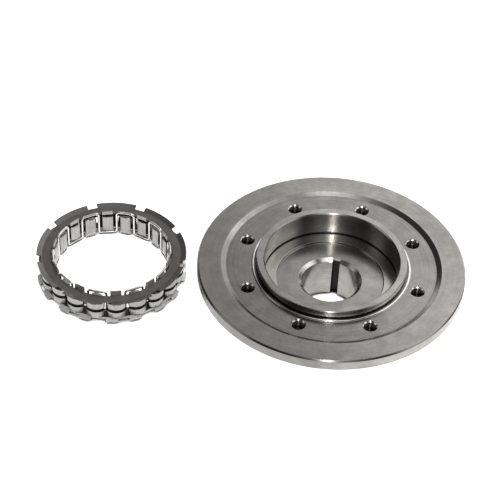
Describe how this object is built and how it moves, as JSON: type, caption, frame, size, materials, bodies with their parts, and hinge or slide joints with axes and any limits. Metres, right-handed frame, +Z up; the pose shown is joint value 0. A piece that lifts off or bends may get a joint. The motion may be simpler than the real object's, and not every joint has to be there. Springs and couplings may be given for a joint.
{
  "type": "sprag clutch",
  "caption": "Sprag one-way clutch set: a flanged hub with keyed bore, bearing seat and ground inner race, beside its caged ring of tilting sprags.",
  "frame": {"origin": "on the hub's bore axis, at the bottom face of its inner race, which is the surface the hub and the sprag ring both stand on", "axes": "+Z up along the bore axis towards the bearing seat; the sprag ring stands beside the hub towards -X"},
  "size_m": [0.1686, 0.1036, 0.0292],
  "materials": {
    "turned_steel": "fine turned, satin, bright chamfers",
    "phosphated_sheet": "dark grey phosphate, satin",
    "bright_wire": "bright drawn wire",
    "spring_wire": "blackened spring wire",
    "ground_steel": "ground, satin"
  },
  "bodies": {
    "hub": {"flange_hub": "turned_steel"},
    "cage": {"upper_side_ring": "phosphated_sheet", "lower_side_ring": "phosphated_sheet", "serpentine_spacer": "bright_wire", "garter_spring": "spring_wire"},
    "sprag_01": {"sprag_01": "ground_steel"},
    "sprag_02": {"sprag_02": "ground_steel"},
    "sprag_03": {"sprag_03": "ground_steel"},
    "sprag_04": {"sprag_04": "ground_steel"},
    "sprag_05": {"sprag_05": "ground_steel"},
    "sprag_06": {"sprag_06": "ground_steel"},
    "sprag_07": {"sprag_07": "ground_steel"},
    "sprag_08": {"sprag_08": "ground_steel"},
    "sprag_09": {"sprag_09": "ground_steel"},
    "sprag_10": {"sprag_10": "ground_steel"},
    "sprag_11": {"sprag_11": "ground_steel"},
    "sprag_12": {"sprag_12": "ground_steel"},
    "sprag_13": {"sprag_13": "ground_steel"},
    "sprag_14": {"sprag_14": "ground_steel"},
    "sprag_15": {"sprag_15": "ground_steel"},
    "sprag_16": {"sprag_16": "ground_steel"},
    "sprag_17": {"sprag_17": "ground_steel"},
    "sprag_18": {"sprag_18": "ground_steel"},
    "sprag_19": {"sprag_19": "ground_steel"},
    "sprag_20": {"sprag_20": "ground_steel"}
  },
  "joints": [
    {"name": "cage_lift", "type": "slide", "parent": "hub", "child": "cage", "axis": [0, 0, 1], "range_m": [0, 0.04]},
    {"name": "sprag_01_rock", "type": "hinge", "parent": "cage", "child": "sprag_01", "pos_m": [-0.09095, 0.04299, 0.0059], "axis": [0, 0, 1], "range_deg": [-4, 5], "stiffness_Nm_per_rad": 0.01},
    {"name": "sprag_02_rock", "type": "hinge", "parent": "cage", "child": "sprag_02", "pos_m": [-0.08291, 0.04303, 0.0059], "axis": [0, 0, 1], "range_deg": [-4, 5]},
    {"name": "sprag_03_rock", "type": "hinge", "parent": "cage", "child": "sprag_03", "pos_m": [-0.07526, 0.04059, 0.0059], "axis": [0, 0, 1], "range_deg": [-4, 5]},
    {"name": "sprag_04_rock", "type": "hinge", "parent": "cage", "child": "sprag_04", "pos_m": [-0.06873, 0.0359, 0.0059], "axis": [0, 0, 1], "range_deg": [-4, 5]},
    {"name": "sprag_05_rock", "type": "hinge", "parent": "cage", "child": "sprag_05", "pos_m": [-0.06397, 0.02942, 0.0059], "axis": [0, 0, 1], "range_deg": [-4, 5]},
    {"name": "sprag_06_rock", "type": "hinge", "parent": "cage", "child": "sprag_06", "pos_m": [-0.06145, 0.02179, 0.0059], "axis": [0, 0, 1], "range_deg": [-4, 5]},
    {"name": "sprag_07_rock", "type": "hinge", "parent": "cage", "child": "sprag_07", "pos_m": [-0.06141, 0.01375, 0.0059], "axis": [0, 0, 1], "range_deg": [-4, 5]},
    {"name": "sprag_08_rock", "type": "hinge", "parent": "cage", "child": "sprag_08", "pos_m": [-0.06385, 0.0061, 0.0059], "axis": [0, 0, 1], "range_deg": [-4, 5]},
    {"name": "sprag_09_rock", "type": "hinge", "parent": "cage", "child": "sprag_09", "pos_m": [-0.06854, -0.00043, 0.0059], "axis": [0, 0, 1], "range_deg": [-4, 5]},
    {"name": "sprag_10_rock", "type": "hinge", "parent": "cage", "child": "sprag_10", "pos_m": [-0.07502, -0.00519, 0.0059], "axis": [0, 0, 1], "range_deg": [-4, 5]},
    {"name": "sprag_11_rock", "type": "hinge", "parent": "cage", "child": "sprag_11", "pos_m": [-0.08265, -0.00771, 0.0059], "axis": [0, 0, 1], "range_deg": [-4, 5]},
    {"name": "sprag_12_rock", "type": "hinge", "parent": "cage", "child": "sprag_12", "pos_m": [-0.09069, -0.00775, 0.0059], "axis": [0, 0, 1], "range_deg": [-4, 5]},
    {"name": "sprag_13_rock", "type": "hinge", "parent": "cage", "child": "sprag_13", "pos_m": [-0.09834, -0.00531, 0.0059], "axis": [0, 0, 1], "range_deg": [-4, 5]},
    {"name": "sprag_14_rock", "type": "hinge", "parent": "cage", "child": "sprag_14", "pos_m": [-0.10487, -0.00062, 0.0059], "axis": [0, 0, 1], "range_deg": [-4, 5]},
    {"name": "sprag_15_rock", "type": "hinge", "parent": "cage", "child": "sprag_15", "pos_m": [-0.10963, 0.00586, 0.0059], "axis": [0, 0, 1], "range_deg": [-4, 5]},
    {"name": "sprag_16_rock", "type": "hinge", "parent": "cage", "child": "sprag_16", "pos_m": [-0.11215, 0.01349, 0.0059], "axis": [0, 0, 1], "range_deg": [-4, 5]},
    {"name": "sprag_17_rock", "type": "hinge", "parent": "cage", "child": "sprag_17", "pos_m": [-0.11219, 0.02153, 0.0059], "axis": [0, 0, 1], "range_deg": [-4, 5]},
    {"name": "sprag_18_rock", "type": "hinge", "parent": "cage", "child": "sprag_18", "pos_m": [-0.10975, 0.02918, 0.0059], "axis": [0, 0, 1], "range_deg": [-4, 5]},
    {"name": "sprag_19_rock", "type": "hinge", "parent": "cage", "child": "sprag_19", "pos_m": [-0.10506, 0.03571, 0.0059], "axis": [0, 0, 1], "range_deg": [-4, 5]},
    {"name": "sprag_20_rock", "type": "hinge", "parent": "cage", "child": "sprag_20", "pos_m": [-0.09858, 0.04047, 0.0059], "axis": [0, 0, 1], "range_deg": [-4, 5]}
  ],
  "couplings": [
    {"joint": "sprag_02_rock", "follows": "sprag_01_rock", "ratio": 1},
    {"joint": "sprag_03_rock", "follows": "sprag_01_rock", "ratio": 1},
    {"joint": "sprag_04_rock", "follows": "sprag_01_rock", "ratio": 1},
    {"joint": "sprag_05_rock", "follows": "sprag_01_rock", "ratio": 1},
    {"joint": "sprag_06_rock", "follows": "sprag_01_rock", "ratio": 1},
    {"joint": "sprag_07_rock", "follows": "sprag_01_rock", "ratio": 1},
    {"joint": "sprag_08_rock", "follows": "sprag_01_rock", "ratio": 1},
    {"joint": "sprag_09_rock", "follows": "sprag_01_rock", "ratio": 1},
    {"joint": "sprag_10_rock", "follows": "sprag_01_rock", "ratio": 1},
    {"joint": "sprag_11_rock", "follows": "sprag_01_rock", "ratio": 1},
    {"joint": "sprag_12_rock", "follows": "sprag_01_rock", "ratio": 1},
    {"joint": "sprag_13_rock", "follows": "sprag_01_rock", "ratio": 1},
    {"joint": "sprag_14_rock", "follows": "sprag_01_rock", "ratio": 1},
    {"joint": "sprag_15_rock", "follows": "sprag_01_rock", "ratio": 1},
    {"joint": "sprag_16_rock", "follows": "sprag_01_rock", "ratio": 1},
    {"joint": "sprag_17_rock", "follows": "sprag_01_rock", "ratio": 1},
    {"joint": "sprag_18_rock", "follows": "sprag_01_rock", "ratio": 1},
    {"joint": "sprag_19_rock", "follows": "sprag_01_rock", "ratio": 1},
    {"joint": "sprag_20_rock", "follows": "sprag_01_rock", "ratio": 1}
  ]
}
